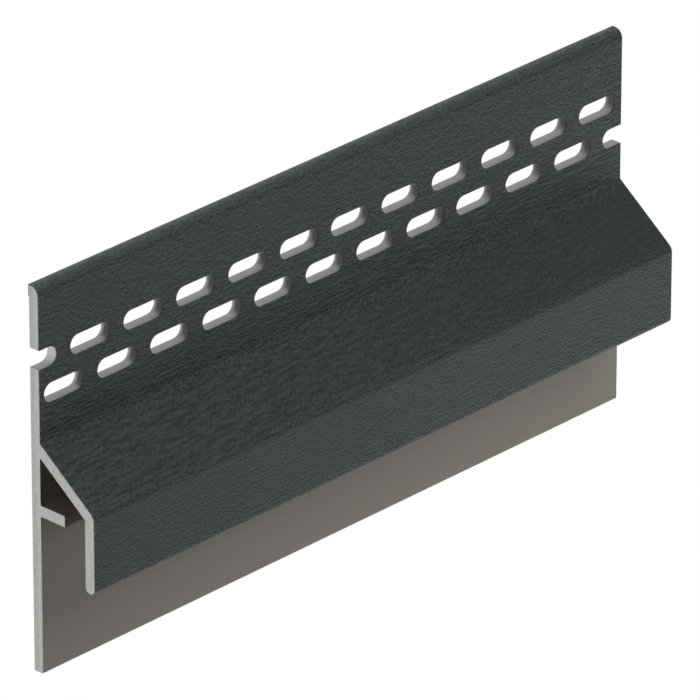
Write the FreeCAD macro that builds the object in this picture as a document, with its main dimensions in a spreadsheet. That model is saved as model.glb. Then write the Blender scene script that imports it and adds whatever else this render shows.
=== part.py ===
# Eaves ventilation profile: a short length of a light grey PVC extrusion, with a dark woodgrain film
# laminated onto its show faces.
# X runs along the profile, -Y faces out of the wall and +Z is up, in millimetres.
# The origin is the middle of the plate's back face.
import FreeCAD, Part
import math
import os
import Sketcher

doc = FreeCAD.newDocument("EavesVentilationProfile")
sheet = doc.addObject("Spreadsheet::Sheet", "Sizes")

# Driving dimensions. Heights are measured up from the plate's bottom edge.
drivingSizes = [
    ("profileLength", 200, "cut length"),
    ("overallHeight", 100, "bottom edge to the laminated top edge"),
    ("plateWall", 2.8, "back plate"),
    ("slopeWall", 2.8, "sloping roof, square to it"),
    ("apronWall", 2.8, "hanging apron"),
    ("shelfWall", 2.8, "inner shelf"),
    ("filmThickness", 0.2, "laminated film"),
    ("slopeRootHeight", 60, "where the slope leaves the plate's front"),
    ("kneeHeight", 46.8, "where the slope turns down into the apron"),
    ("apronBottomHeight", 26.7, "lower edge of the apron"),
    ("pocketWidth", 14.5, "clear gap between plate and apron"),
    ("shelfHeight", 41.25, "underside of the shelf"),
    ("shelfReach", 7.9, "how far the shelf stands out of the plate"),
    ("topEdgeRadius", 2.2, "plate's top front edge"),
    ("kneeRadius", 2.4, "outer knee"),
    ("noseFrontRadius", 1.3, "apron's lower edge, outside"),
    ("noseBackRadius", 1.2, "apron's lower edge, inside"),
    ("shelfTipRadius", 0.45, "upper edge of the shelf's tip"),
    ("smallRadius", 0.3, "plate's bottom edges and the shelf's roots"),
    ("filmBackTurn", 3, "film turned down the back, from the top edge"),
    ("filmNoseTurn", 1.5, "film turned under the apron, from its front face"),
    ("slotLength", 13, "ventilation slot, end to end"),
    ("slotWidth", 5, "ventilation slot"),
    ("slotPitch", 17.45, "from slot to slot in a row"),
    ("firstSlotDistance", 7.95, "left end to the lower row's first slot"),
    ("lowerRowHeight", 72.15, "lower row of slots"),
    ("upperRowHeight", 81.45, "upper row of slots"),
]
for row, (alias, value, note) in enumerate(drivingSizes, 1):
    sheet.set(f"A{row}", alias)
    sheet.set(f"B{row}", str(value))
    sheet.set(f"C{row}", note)
    sheet.setAlias(f"B{row}", alias)
doc.recompute()

# Lengths that follow from the driving ones, as the sheet's cells give them.
coreTop = "Sizes.overallHeight - Sizes.filmThickness"
coreDepth = "Sizes.plateWall + Sizes.pocketWidth + Sizes.apronWall"
firstSlotPlace = "Sizes.firstSlotDistance - Sizes.profileLength / 2"

originPoint = (-1, 1)
closeEnough = 1e-6


def valueOf(expression):
    return float(sheet.evalExpression(expression.replace("Sizes.", "")))


def addSketch(body, name, planeRole):
    sketch = body.newObject("Sketcher::SketchObject", name)
    plane = next(item for item in body.Origin.OriginFeatures if item.Role == planeRole)
    sketch.AttachmentSupport = (plane, [""])
    sketch.MapMode = "FlatFace"
    return sketch


def drawOutline(sketch, corners):
    # One straight side starts at each corner. A side that is drawn level or upright is held so.
    places = list(corners.values())
    for side, start in enumerate(places):
        end = places[(side + 1) % len(places)]
        sketch.addGeometry(Part.LineSegment(FreeCAD.Vector(*start), FreeCAD.Vector(*end)))
        if abs(start[0] - end[0]) < closeEnough:
            sketch.addConstraint(Sketcher.Constraint("Vertical", side))
        elif abs(start[1] - end[1]) < closeEnough:
            sketch.addConstraint(Sketcher.Constraint("Horizontal", side))
    for side in range(len(places)):
        sketch.addConstraint(Sketcher.Constraint("Coincident", side, 2, (side + 1) % len(places), 1))
    return {name: (side, 1) for side, name in enumerate(corners)}


def dimension(sketch, name, kind, references, expression):
    index = sketch.addConstraint(Sketcher.Constraint(kind, *references, valueOf(expression)))
    sketch.renameConstraint(index, name)
    sketch.setExpression(f"Constraints.{name}", expression)


def dimensionShowFace(sketch, point):
    # The core's face under the film. Core and film share these corners.
    dimension(sketch, "coreTop", "DistanceY", (*originPoint, *point["topBack"]), coreTop)
    dimension(sketch, "plateWall", "DistanceX", (*point["topFront"], *originPoint), "Sizes.plateWall")
    dimension(sketch, "slopeRoot", "DistanceY", (*originPoint, *point["slopeRoot"]), "Sizes.slopeRootHeight")
    dimension(sketch, "knee", "DistanceY", (*originPoint, *point["knee"]), "Sizes.kneeHeight")
    dimension(sketch, "coreDepth", "DistanceX", (*point["knee"], *originPoint), coreDepth)
    dimension(sketch, "apronBottom", "DistanceY",
              (*originPoint, *point["noseFront"]), "Sizes.apronBottomHeight")
    dimension(sketch, "filmBackTurn", "DistanceY", (*point["filmEnd"], *point["topBack"]),
              "Sizes.filmBackTurn - Sizes.filmThickness")


def addPad(body, sketch):
    pad = body.newObject("PartDesign::Pad", f"{body.Name}Length")
    pad.Profile = sketch
    pad.SideType = "Symmetric"
    pad.Refine = False
    pad.setExpression("Length", "Sizes.profileLength")
    doc.recompute()
    return pad


def roundCorners(body, sketch, cornerNames, point, name, radius):
    # Rounds the lengthwise edges that stand on the named corners of the section.
    base = body.Tip
    edgeNames = []
    for cornerName in cornerNames:
        corner = sketch.getPoint(*point[cornerName])
        for number, edge in enumerate(base.Shape.Edges, 1):
            ends = [vertex.Point for vertex in edge.Vertexes]
            if all(math.hypot(end.y - corner.x, end.z - corner.y) < closeEnough for end in ends):
                edgeNames.append(f"Edge{number}")
    fillet = body.newObject("PartDesign::Fillet", f"{body.Name}{name}")
    fillet.Base = (base, edgeNames)
    fillet.Refine = False
    fillet.setExpression("Radius", radius)
    doc.recompute()


def drawSlot(sketch, name, place, height):
    # A slot with round ends, from the centre of its left end: two arcs joined by two straight sides.
    left = valueOf(f"{place} - (Sizes.slotLength - Sizes.slotWidth) / 2")
    right = valueOf(f"{place} + (Sizes.slotLength - Sizes.slotWidth) / 2")
    middle = valueOf(height)
    radius = valueOf("Sizes.slotWidth / 2")
    up = FreeCAD.Vector(0, 0, 1)
    leftCircle = Part.Circle(FreeCAD.Vector(left, middle, 0), up, radius)
    rightCircle = Part.Circle(FreeCAD.Vector(right, middle, 0), up, radius)
    leftEnd = sketch.addGeometry(Part.ArcOfCircle(leftCircle, math.pi / 2, 3 * math.pi / 2))
    rightEnd = sketch.addGeometry(Part.ArcOfCircle(rightCircle, -math.pi / 2, math.pi / 2))
    lowerSide = sketch.addGeometry(Part.LineSegment(
        FreeCAD.Vector(left, middle - radius, 0), FreeCAD.Vector(right, middle - radius, 0)))
    upperSide = sketch.addGeometry(Part.LineSegment(
        FreeCAD.Vector(right, middle + radius, 0), FreeCAD.Vector(left, middle + radius, 0)))
    outline = (leftEnd, lowerSide, rightEnd, upperSide)
    for number, piece in enumerate(outline):
        following = outline[(number + 1) % len(outline)]
        sketch.addConstraint(Sketcher.Constraint("Tangent", piece, 2, following, 1))
    sketch.addConstraint(Sketcher.Constraint("Horizontal", lowerSide))
    sketch.addConstraint(Sketcher.Constraint("Equal", leftEnd, rightEnd))
    dimension(sketch, f"{name}Radius", "Radius", (leftEnd,), "Sizes.slotWidth / 2")
    dimension(sketch, f"{name}Straight", "Distance", (lowerSide,), "Sizes.slotLength - Sizes.slotWidth")
    dimension(sketch, f"{name}Height", "DistanceY", (*originPoint, leftEnd, 3), height)
    dimension(sketch, f"{name}Place", "DistanceX", (leftEnd, 3, *originPoint),
              f"(Sizes.slotLength - Sizes.slotWidth) / 2 - ({place})")


def punchSlots(body):
    # The punch cuts a slot of each row at a stroke, the upper one half a pitch behind the lower one.
    # It runs on past both ends, so the saw cuts through a slot of the upper row and one of the lower row.
    sketch = addSketch(body, f"{body.Name}SlotPair", "XZ_Plane")
    drawSlot(sketch, "lower", firstSlotPlace, "Sizes.lowerRowHeight")
    drawSlot(sketch, "upper", f"{firstSlotPlace} - Sizes.slotPitch / 2", "Sizes.upperRowHeight")
    pocket = body.newObject("PartDesign::Pocket", f"{body.Name}Punch")
    pocket.Profile = sketch
    pocket.SideType = "Symmetric"
    pocket.Type = "ThroughAll"
    pocket.Refine = False
    strokes = body.newObject("PartDesign::LinearPattern", f"{body.Name}Strokes")
    strokes.Originals = [pocket]
    strokes.Direction = (sketch, ["H_Axis"])
    strokes.Mode = "Spacing"
    strokes.Refine = False
    strokes.setExpression("Offset", "Sizes.slotPitch")
    strokes.setExpression(
        "Occurrences",
        "floor((Sizes.profileLength - Sizes.firstSlotDistance + Sizes.slotPitch / 2 + Sizes.slotLength / 2)"
        " / Sizes.slotPitch) + 1")
    body.Tip = strokes


def addBody(name, label):
    body = doc.addObject("PartDesign::Body", name)
    body.Label = label
    body.setExpression("Placement.Base.z", "-Sizes.overallHeight / 2")
    return body


# The extrusion: a tall back plate, a slope and an apron that shed the rain, and a shelf inside the pocket.
core = addBody("Core", "pvc_profile")
coreSection = addSketch(core, "CoreSection", "YZ_Plane")

plateFront = -valueOf("Sizes.plateWall")
apronFront = -valueOf(coreDepth)
apronBack = plateFront - valueOf("Sizes.pocketWidth")
shelfTip = plateFront - valueOf("Sizes.shelfReach")
plateTop = valueOf(coreTop)
filmEnd = valueOf("Sizes.overallHeight - Sizes.filmBackTurn")
slopeRoot = valueOf("Sizes.slopeRootHeight")
knee = valueOf("Sizes.kneeHeight")
apronBottom = valueOf("Sizes.apronBottomHeight")
shelfBottom = valueOf("Sizes.shelfHeight")
shelfTop = valueOf("Sizes.shelfHeight + Sizes.shelfWall")
slopeFall = (slopeRoot - knee) / (plateFront - apronFront)
slopeWallUpright = valueOf("Sizes.slopeWall") * math.hypot(1, slopeFall)

# The strip of the back that the film covers is a face of its own.
corePoint = drawOutline(coreSection, {
    "bottomBack": (0, 0),
    "filmEnd": (0, filmEnd),
    "topBack": (0, plateTop),
    "topFront": (plateFront, plateTop),
    "slopeRoot": (plateFront, slopeRoot),
    "knee": (apronFront, knee),
    "noseFront": (apronFront, apronBottom),
    "noseBack": (apronBack, apronBottom),
    "innerKnee": (apronBack, slopeRoot - slopeFall * (plateFront - apronBack) - slopeWallUpright),
    "innerRoot": (plateFront, slopeRoot - slopeWallUpright),
    "shelfRootTop": (plateFront, shelfTop),
    "shelfTipTop": (shelfTip, shelfTop),
    "shelfTipBottom": (shelfTip, shelfBottom),
    "shelfRootBottom": (plateFront, shelfBottom),
    "bottomFront": (plateFront, 0),
})
slopeSide = corePoint["slopeRoot"][0]
coreSection.addConstraint(Sketcher.Constraint("Coincident", *corePoint["bottomBack"], *originPoint))
coreSection.addConstraint(Sketcher.Constraint("Parallel", slopeSide, corePoint["innerKnee"][0]))
for cornerName in ("innerRoot", "shelfRootBottom"):
    coreSection.addConstraint(
        Sketcher.Constraint("Vertical", *corePoint["slopeRoot"], *corePoint[cornerName]))
dimensionShowFace(coreSection, corePoint)
dimension(coreSection, "apronWall", "DistanceX",
          (*corePoint["noseFront"], *corePoint["noseBack"]), "Sizes.apronWall")
dimension(coreSection, "slopeWall", "Distance", (*corePoint["innerKnee"], slopeSide), "Sizes.slopeWall")
dimension(coreSection, "shelfHeight", "DistanceY",
          (*originPoint, *corePoint["shelfTipBottom"]), "Sizes.shelfHeight")
dimension(coreSection, "shelfWall", "DistanceY",
          (*corePoint["shelfTipBottom"], *corePoint["shelfTipTop"]), "Sizes.shelfWall")
dimension(coreSection, "shelfReach", "DistanceX",
          (*corePoint["shelfTipTop"], *corePoint["shelfRootTop"]), "Sizes.shelfReach")

addPad(core, coreSection)
roundCorners(core, coreSection, ["topFront"], corePoint, "TopEdge", "Sizes.topEdgeRadius")
roundCorners(core, coreSection, ["knee"], corePoint, "Knee", "Sizes.kneeRadius")
roundCorners(core, coreSection, ["noseFront"], corePoint, "NoseFront", "Sizes.noseFrontRadius")
roundCorners(core, coreSection, ["noseBack"], corePoint, "NoseBack", "Sizes.noseBackRadius")
roundCorners(core, coreSection, ["shelfTipTop"], corePoint, "ShelfTip", "Sizes.shelfTipRadius")
roundCorners(core, coreSection, ["bottomBack", "bottomFront", "shelfRootTop", "shelfRootBottom"],
             corePoint, "SmallEdges", "Sizes.smallRadius")
punchSlots(core)

# The film: one thin band that starts in a turned strip on the back, goes over the top and down the front,
# and ends under the apron.
film = addBody("Film", "woodgrain_foil")
filmSection = addSketch(film, "FilmSection", "YZ_Plane")

thickness = valueOf("Sizes.filmThickness")
noseEnd = apronFront + valueOf("Sizes.filmNoseTurn")
slopeShift = thickness * (math.hypot(1, slopeFall) - slopeFall)

filmPoint = drawOutline(filmSection, {
    "filmEnd": (0, filmEnd),
    "topBack": (0, plateTop),
    "topFront": (plateFront, plateTop),
    "slopeRoot": (plateFront, slopeRoot),
    "knee": (apronFront, knee),
    "noseFront": (apronFront, apronBottom),
    "noseEnd": (noseEnd, apronBottom),
    "outerNoseEnd": (noseEnd, apronBottom - thickness),
    "outerNoseFront": (apronFront - thickness, apronBottom - thickness),
    "outerKnee": (apronFront - thickness, knee + slopeShift),
    "outerSlopeRoot": (plateFront - thickness, slopeRoot + slopeShift),
    "outerTopFront": (plateFront - thickness, plateTop + thickness),
    "outerTopBack": (thickness, plateTop + thickness),
    "outerFilmEnd": (thickness, filmEnd),
})
filmSection.addConstraint(Sketcher.Constraint("Vertical", *filmPoint["filmEnd"], *originPoint))
filmSection.addConstraint(
    Sketcher.Constraint("Parallel", filmPoint["slopeRoot"][0], filmPoint["outerKnee"][0]))
dimensionShowFace(filmSection, filmPoint)
dimension(filmSection, "filmNoseTurn", "DistanceX",
          (*filmPoint["noseFront"], *filmPoint["noseEnd"]), "Sizes.filmNoseTurn")
# The band is as thick over each stretch of the core's face as the film is.
for outerName, innerName in (
    ("outerFilmEnd", "filmEnd"),
    ("outerTopBack", "topBack"),
    ("outerTopFront", "topFront"),
    ("outerSlopeRoot", "slopeRoot"),
    ("outerKnee", "knee"),
    ("outerNoseFront", "noseFront"),
):
    dimension(filmSection, f"{innerName}Thickness", "Distance",
              (*filmPoint[outerName], filmPoint[innerName][0]), "Sizes.filmThickness")

addPad(film, filmSection)
roundCorners(film, filmSection, ["topFront"], filmPoint, "TopEdgeInside", "Sizes.topEdgeRadius")
roundCorners(film, filmSection, ["outerTopFront"], filmPoint, "TopEdgeOutside",
             "Sizes.topEdgeRadius + Sizes.filmThickness")
roundCorners(film, filmSection, ["knee"], filmPoint, "KneeInside", "Sizes.kneeRadius")
roundCorners(film, filmSection, ["outerKnee"], filmPoint, "KneeOutside",
             "Sizes.kneeRadius + Sizes.filmThickness")
roundCorners(film, filmSection, ["noseFront"], filmPoint, "NoseInside", "Sizes.noseFrontRadius")
roundCorners(film, filmSection, ["outerNoseFront"], filmPoint, "NoseOutside",
             "Sizes.noseFrontRadius + Sizes.filmThickness")
punchSlots(film)
doc.recompute()

# Nothing is written unless every object is sound.
for item in doc.Objects:
    if "Invalid" in item.State or "Error" in item.State:
        raise RuntimeError(f"{item.Label} did not recompute: {item.State}")
for body in (core, film):
    if body.Shape.isNull() or not body.Shape.isValid() or len(body.Shape.Solids) != 1:
        raise RuntimeError(f"{body.Label} is not one sound solid")
    if body.Shape.Volume >= body.Tip.Originals[0].BaseFeature.Shape.Volume:
        raise RuntimeError(f"the punch cuts nothing out of {body.Label}")

os.makedirs("parts", exist_ok=True)
for body in (core, film):
    body.Shape.exportStep(f"parts/{body.Label}.step")
    box = body.Shape.BoundBox
    lengths = f"{box.XLength:.2f} x {box.YLength:.2f} x {box.ZLength:.2f} mm"
    print(f"{body.Label}: {body.Shape.Volume:.1f} mm3, {lengths}")
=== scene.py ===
import math

import bpy
from mathutils import Matrix, Vector


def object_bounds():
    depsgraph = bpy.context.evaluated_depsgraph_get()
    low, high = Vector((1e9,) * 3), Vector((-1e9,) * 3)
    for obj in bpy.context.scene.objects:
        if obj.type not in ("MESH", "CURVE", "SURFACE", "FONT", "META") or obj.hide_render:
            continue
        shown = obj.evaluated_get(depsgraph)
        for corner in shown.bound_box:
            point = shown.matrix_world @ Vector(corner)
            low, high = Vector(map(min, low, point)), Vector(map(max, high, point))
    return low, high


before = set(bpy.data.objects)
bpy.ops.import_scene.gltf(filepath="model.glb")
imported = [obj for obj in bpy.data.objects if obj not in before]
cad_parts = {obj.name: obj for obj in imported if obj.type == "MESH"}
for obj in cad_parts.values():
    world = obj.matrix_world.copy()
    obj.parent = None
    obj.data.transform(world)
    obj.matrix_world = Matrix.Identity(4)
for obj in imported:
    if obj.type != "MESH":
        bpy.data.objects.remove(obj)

# Eaves ventilation profile: a grey PVC extrusion with a dark woodgrain film on its show faces.
# X runs along the profile, -Y faces out of the wall, +Z is up, all in metres.

mm = 0.001
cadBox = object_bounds()


# Small helpers

def hexColour(text):
    # An sRGB hex colour as the linear values that a shader takes.
    channels = [int(text[i:i + 2], 16) / 255 for i in (1, 3, 5)]
    return [c / 12.92 if c <= 0.04045 else ((c + 0.055) / 1.055) ** 2.4 for c in channels] + [1.0]


def addNode(tree, kind, inputs=(), **settings):
    # Inputs go by name, or in the order of the node's active sockets. Each is a plain value, or a node
    # or a socket to link. A node is linked by its first active output.
    node = tree.nodes.new("ShaderNode" + kind)
    for name, value in settings.items():
        setattr(node, name, value)
    if isinstance(inputs, dict):
        places = [node.inputs[name] for name in inputs]
        inputs = inputs.values()
    else:
        places = [place for place in node.inputs if place.enabled]
    for place, value in zip(places, inputs):
        if isinstance(value, bpy.types.Node):
            value = next(output for output in value.outputs if output.enabled)
        if isinstance(value, bpy.types.NodeSocket):
            tree.links.new(value, place)
        else:
            place.default_value = value
    return node


def newMaterial(name):
    material = bpy.data.materials.new(name)
    material.use_nodes = True
    material.node_tree.nodes.clear()
    return material, material.node_tree


# Woodgrain film: PVC film, printed dark and embossed by a heated roller before it is laminated on.
# The eye gets a low sheen over a dark blue grey, broken by short pores, by long streaks that run along
# the profile, and on the slope by longer and softer dashes too.

filmLook = {
    "colour": "#6a7172",
    "poreColour": "#061d20",
    "poreReach": (-0.28, 0.38),  # the grain's strength at the darkest pore and at the lightest lip
    "roughness": 0.5,
    "ior": 1.5,
    "gloss": 0.25,
    "poreSize": (0.8 * mm, 1.2 * mm, 0.47 * mm),  # along the profile, into the wall, and by height
    "streakSize": (4.5 * mm, 1.2 * mm, 0.46 * mm),
    "dashSize": (4.5 * mm, 3 * mm, 0.6 * mm),
    "streakDepth": 0.15 * mm,
    "lipShift": 0.9,  # how far the light lip lies over the dark side, in heights of the grain
    "lipWeight": 0.6,
    "bandEdge": 1.5 * mm,  # how softly the bands below begin and end
    # The foot of the plate, between the slope and the slots, has the most streaks, and painted shade makes
    # it darker where it faces the slope below.
    "footBand": (11 * mm, 21 * mm),
    "footContrast": 1.35,
    "footPaintedShade": -0.05,
    "streakShare": (0.26, 0.46),  # over the rest of the film and at the plate's foot
    "dashShare": 0.05,
    # The slope's values change from its left end to its right end.
    "slopeBand": (-3 * mm, 9 * mm),
    "slopeStreaks": (0.15, 0.1),
    "slopeDashes": (0.5, 0.25),
    "slopeContrast": (1.17, 0.25),
    "slopeShade": (0.1, -0.16),
    # Over the top edge the film's grain is smoother, and a painted highlight makes it lighter, less so at
    # the right end.
    "roundingFrom": 47.4 * mm,
    "roundingContrast": 0.4,
    "roundingPaintedHighlight": (0.21, 0.13),
}


def addBand(tree, height, band, edge):
    # 1 between the band's two heights, and 0 outside them.
    low, high = band
    rise = addNode(tree, "MapRange", (height, low - edge, low + edge, 0.0, 1.0))
    fall = addNode(tree, "MapRange", (height, high - edge, high + edge, 1.0, 0.0))
    return addNode(tree, "Math", (rise, fall), operation="MULTIPLY")


def addGrain(tree, place, size, look):
    # The same noise at two heights: one less the other is a hollow with a lip, as embossing leaves it.
    levels = []
    for shift in (0.0, look["lipShift"]):
        spot = addNode(tree, "Mapping", {
            "Vector": place, "Location": (0, 0, shift), "Scale": [1 / step for step in size],
        })
        levels.append(addNode(tree, "TexNoise", {
            "Vector": spot, "Scale": 1.0, "Detail": 0.0,
        }, normalize=False))
    return addNode(tree, "Math", (levels[1], -look["lipWeight"], levels[0]), operation="MULTIPLY_ADD")


def makeFilmMaterial(look):
    material, tree = newMaterial("embossedWoodgrainFilm")
    place = addNode(tree, "TexCoord").outputs["Object"]
    split = addNode(tree, "SeparateXYZ", (place,))
    along, height = split.outputs["X"], split.outputs["Z"]

    onFoot = addBand(tree, height, look["footBand"], look["bandEdge"])
    onSlope = addBand(tree, height, look["slopeBand"], look["bandEdge"])
    onRounding = addNode(tree, "MapRange", (height, look["roundingFrom"], cadBox[1].z, 0.0, 1.0))
    # These values ramp from the left end to the right end, the painted highlight on the top edge among
    # them.
    slopeStreaks, slopeDashes, slopeContrast, slopeShade, roundingPaintedHighlight = (
        addNode(tree, "MapRange", (along, cadBox[0].x, cadBox[1].x, *look[name]))
        for name in ("slopeStreaks", "slopeDashes", "slopeContrast", "slopeShade", "roundingPaintedHighlight"))

    pores, streaks, dashes = (
        addGrain(tree, place, look[name], look) for name in ("poreSize", "streakSize", "dashSize"))
    plateStreaks = addNode(tree, "Mix", (onFoot, *look["streakShare"]))
    streakShare = addNode(tree, "Mix", (onSlope, plateStreaks, slopeStreaks))
    dashShare = addNode(tree, "Mix", (onSlope, look["dashShare"], slopeDashes))
    fineGrain = addNode(tree, "Mix", (streakShare, pores, streaks))
    grain = addNode(tree, "Mix", (dashShare, fineGrain, dashes))

    footContrast = addNode(tree, "Mix", (onFoot, 1.0, look["footContrast"]))
    plateContrast = addNode(tree, "Mix", (onRounding, footContrast, look["roundingContrast"]))
    contrast = addNode(tree, "Mix", (onSlope, plateContrast, slopeContrast))
    # Painted shade: the plate's foot is made darker where it faces the slope.
    footPaintedShade = addNode(tree, "Math", (onFoot, look["footPaintedShade"]), operation="MULTIPLY")
    # Painted highlight: the top edge is made lighter, more at the left end than at the right.
    plateShade = addNode(tree, "Math", (onRounding, roundingPaintedHighlight, footPaintedShade), operation="MULTIPLY_ADD")
    baseShade = addNode(tree, "Math", (onSlope, slopeShade, plateShade), operation="MULTIPLY_ADD")
    strength = addNode(tree, "Math", (grain, contrast, baseShade), operation="MULTIPLY_ADD")

    shade = addNode(tree, "MapRange", (strength, *look["poreReach"], 0.0, 1.0))
    colour = addNode(tree, "Mix", (
        shade, hexColour(look["poreColour"]), hexColour(look["colour"]),
    ), data_type="RGBA")
    relief = addNode(tree, "Bump", {
        "Strength": 1.0, "Distance": look["streakDepth"],
        "Height": addNode(tree, "Math", (streaks, streakShare), operation="MULTIPLY"),
    })
    surface = addNode(tree, "BsdfPrincipled", {
        "Base Color": colour, "Roughness": look["roughness"], "IOR": look["ior"],
        "Specular IOR Level": look["gloss"], "Normal": relief,
    })
    addNode(tree, "OutputMaterial", {"Surface": surface})
    return material


# Grey PVC-U: extruded through a steel die, with punched slots and sawn ends.
# The eye gets a satin light grey, slightly warm, with faint lines drawn along the length by the die.
# The slots' walls and the sawn ends are a cooler grey, the ends with faint upright marks of the blade.
# Real die lines and saw marks are finer: both are drawn as coarse as they need to be to show.

pvcLook = {
    "colour": "#ada69b",
    "dieLineColour": "#a9a296",
    "roughness": 0.5,
    "ior": 1.53,
    "dieLineSize": (280 * mm, 1.8 * mm, 1.8 * mm),
    "dieLineDetail": 2.0,
    "dieLineDepth": 0.006 * mm,
    "cutColour": "#b1b1af",
    "cutShade": "#a1a19f",
    "cutDepth": 0.05 * mm,  # how far in from the ends the saw's finish reaches
    "plateMiddle": -1.4 * mm,  # the slots' walls lie this far in, give or take the reach
    "plateReach": 1.35 * mm,
    "slotsFrom": 12 * mm,  # the height above which the plate has slots
    "sawMarks": ((0.7 * mm, 4 * mm, 0.7), (0.6 * mm, 1 * mm, 1.1)),  # width, length and weight
    "sawDetail": 1.0,
    "plateShade": (-1.6 * mm, -1.2 * mm),  # the back half of the plate's sawn face is darker
    "endShade": (0.35, 1.0),
}


def addCutFinish(tree, place, look):
    # Cut faces: the sawn ends, and the walls of the slots, which lie inside the plate's thickness.
    split = addNode(tree, "SeparateXYZ", (place,))
    depth, height = split.outputs["Y"], split.outputs["Z"]
    outwards = addNode(tree, "Math", (split.outputs["X"],), operation="ABSOLUTE")
    onEnd = addNode(tree, "Math", (outwards, cadBox[1].x - look["cutDepth"]), operation="GREATER_THAN")
    inPlate = addNode(tree, "Math", (depth, look["plateMiddle"], look["plateReach"]), operation="COMPARE")
    aboveSlope = addNode(tree, "Math", (height, look["slotsFrom"]), operation="GREATER_THAN")
    onWall = addNode(tree, "Math", (inPlate, aboveSlope), operation="MULTIPLY")
    onCut = addNode(tree, "Math", (onEnd, onWall), operation="MAXIMUM")

    plateShade = addNode(tree, "MapRange", (depth, *look["plateShade"], *look["endShade"]))
    darker = addNode(tree, "Math", (onEnd, plateShade), operation="MULTIPLY")
    for width, length, weight in look["sawMarks"]:
        markSize = addNode(tree, "Mapping", {"Vector": place, "Scale": (0, 1 / width, 1 / length)})
        marks = addNode(tree, "TexNoise", {
            "Vector": markSize, "Scale": 1.0, "Detail": look["sawDetail"],
        }, normalize=False)
        darker = addNode(tree, "Math", (marks, weight, darker), operation="MULTIPLY_ADD")
    colour = addNode(tree, "Mix", (
        darker, hexColour(look["cutColour"]), hexColour(look["cutShade"]),
    ), data_type="RGBA")
    return onCut, colour


def makePvcMaterial(look):
    material, tree = newMaterial("extrudedGreyPvc")
    place = addNode(tree, "TexCoord").outputs["Object"]
    lineSize = addNode(tree, "Mapping", {
        "Vector": place, "Scale": [1 / step for step in look["dieLineSize"]],
    })
    lines = addNode(tree, "TexNoise", {
        "Vector": lineSize, "Scale": 1.0, "Detail": look["dieLineDetail"],
    })
    skinColour = addNode(tree, "Mix", (
        lines, hexColour(look["colour"]), hexColour(look["dieLineColour"]),
    ), data_type="RGBA")
    onCut, cutColour = addCutFinish(tree, place, look)
    colour = addNode(tree, "Mix", (onCut, skinColour, cutColour), data_type="RGBA")
    relief = addNode(tree, "Bump", {
        "Strength": 1.0, "Distance": look["dieLineDepth"], "Height": lines,
    })
    surface = addNode(tree, "BsdfPrincipled", {
        "Base Color": colour, "Roughness": look["roughness"], "IOR": look["ior"], "Normal": relief,
    })
    addNode(tree, "OutputMaterial", {"Surface": surface})
    return material


for nodeName, material in (
    ("pvc_profile", makePvcMaterial(pvcLook)),
    ("woodgrain_foil", makeFilmMaterial(filmLook)),
):
    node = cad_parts[nodeName]
    node.data.materials.clear()
    node.data.materials.append(material)
print("finishes are on the profile and its film")


# White where the camera, a reflection or glass sees it, and plain pale light or colour for the rest.

plainWhite = hexColour("#ffffff")


def addSeenShare(tree):
    rays = addNode(tree, "LightPath").outputs
    seen = addNode(tree, "Math", (rays["Is Camera Ray"], rays["Is Glossy Ray"]), operation="MAXIMUM")
    return addNode(tree, "Math", (seen, rays["Is Transmission Ray"]), operation="MAXIMUM")


# Floor: a pale studio floor, far enough below the profile that no shadow comes into the picture.

floorSetup = {
    "drop": 0.6,
    "side": 40.0,
    "colour": "#b8b8b8",
}


def makeFloor(setup):
    bpy.ops.object.select_all(action="DESELECT")
    bpy.ops.mesh.primitive_plane_add(size=setup["side"], location=(0, 0, cadBox[0].z - setup["drop"]))
    floor = bpy.context.object
    floor.name = "studioFloor"
    material, tree = newMaterial("paleFloor")
    matt = addNode(tree, "BsdfDiffuse", {"Color": hexColour(setup["colour"])})
    white = addNode(tree, "Emission", {"Color": plainWhite, "Strength": 1.0})
    mixed = addNode(tree, "MixShader", (addSeenShare(tree), matt, white))
    addNode(tree, "OutputMaterial", {"Surface": mixed})
    floor.data.materials.append(material)


makeFloor(floorSetup)


# World: a little soft light from all round.

worldSetup = {
    "strength": 0.02,
}


def makeWorld(setup):
    world = bpy.data.worlds.new("studioWorld")
    world.use_nodes = True
    tree = world.node_tree
    tree.nodes.clear()
    soft = addNode(tree, "Background", {"Color": plainWhite, "Strength": setup["strength"]})
    white = addNode(tree, "Background", {"Color": plainWhite, "Strength": 1.0})
    mixed = addNode(tree, "MixShader", (addSeenShare(tree), soft, white))
    addNode(tree, "OutputWorld", {"Surface": mixed})
    bpy.context.scene.world = world


makeWorld(worldSetup)


# Lamps: soft boxes in front, below and behind, and a small one off each end that lights the sawn face.
# Each aims at the middle of the part. Angles are in degrees, distances and sizes in metres, powers in
# watts.

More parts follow.
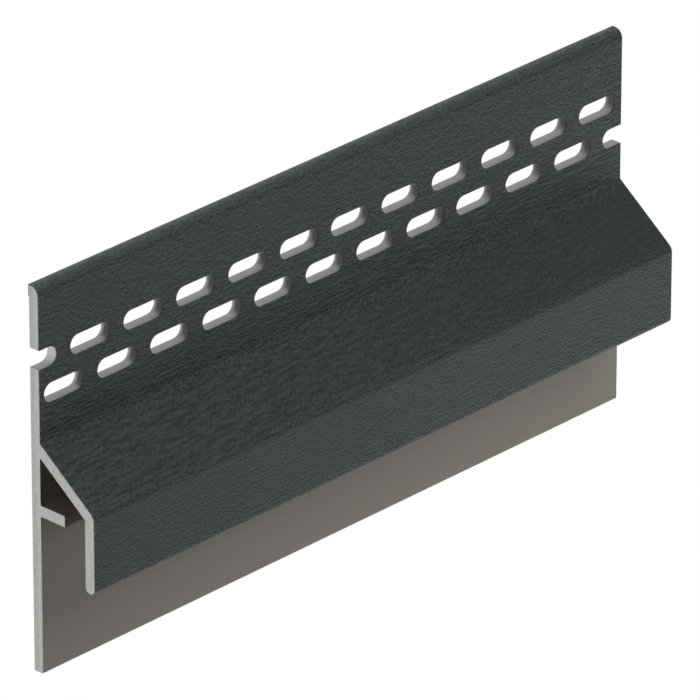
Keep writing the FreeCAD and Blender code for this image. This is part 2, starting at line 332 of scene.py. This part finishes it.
lamps = {
    "leftSide": {"azimuth": -92, "elevation": 0, "distance": 0.55, "size": 0.05, "power": 1.76},
    "rightSide": {"azimuth": 92, "elevation": 0, "distance": 0.55, "size": 0.05, "power": 0.6},
    "frontTop": {"azimuth": 30, "elevation": 40, "distance": 0.8, "size": 0.4, "power": 1.3},
    "frontLow": {"azimuth": 45, "elevation": -40, "distance": 0.45, "size": 0.4, "power": 0.195},
    "rightLow": {"azimuth": 70, "elevation": -35, "distance": 0.6, "size": 0.4, "power": 0.37},
    "backTop": {"azimuth": 180, "elevation": 60, "distance": 0.8, "size": 0.4, "power": 1.95},
}


def directionTo(azimuth, elevation):
    # Azimuth 0 stands in front of the profile, -90 at its left end.
    a, e = math.radians(azimuth), math.radians(elevation)
    return Vector((math.sin(a) * math.cos(e), -math.cos(a) * math.cos(e), math.sin(e)))


def addLamp(name, setup):
    lamp = bpy.data.lights.new(name, "AREA")
    lamp.size = setup["size"]
    lamp.energy = setup["power"]
    holder = bpy.data.objects.new(name, lamp)
    bpy.context.scene.collection.objects.link(holder)
    towards = directionTo(setup["azimuth"], setup["elevation"])
    holder.location = towards * setup["distance"]
    holder.rotation_euler = towards.to_track_quat("Z", "Y").to_euler()


for name, setup in lamps.items():
    addLamp(name, setup)
print("floor, world and lamps are set")


# Camera: the photograph's place and lens, found by fitting the profile's edges.

cameraSetup = {
    "azimuth": -46.585,
    "elevation": 26.07,
    "roll": 0.06,
    "distance": 2238.1 * mm,
    "lens": 484.3,
    "sensor": 36.0,
    "aim": (0, -10 * mm, 0),
    "aside": (2.38 * mm, -1.06 * mm),  # the aim stands this far right of the picture's middle, and above it
    "nearest": 0.05,
    "farthest": 100,
}


def addCamera(setup):
    data = bpy.data.cameras.new("camera")
    data.lens = setup["lens"]
    data.sensor_width = setup["sensor"]
    data.clip_start = setup["nearest"]
    data.clip_end = setup["farthest"]
    back = directionTo(setup["azimuth"], setup["elevation"])
    level = Vector((0, 0, 1)).cross(back).normalized()
    turn = Matrix.Rotation(math.radians(setup["roll"]), 3, back)
    right = turn @ level
    up = back.cross(right)
    aside, above = setup["aside"]
    place = Vector(setup["aim"]) + back * setup["distance"] - right * aside - up * above
    camera = bpy.data.objects.new("camera", data)
    camera.matrix_world = Matrix((right, up, back)).transposed().to_4x4()
    camera.location = place
    bpy.context.scene.collection.objects.link(camera)
    bpy.context.scene.camera = camera


addCamera(cameraSetup)
bpy.context.scene.view_settings.view_transform = "Standard"
print("camera is set")
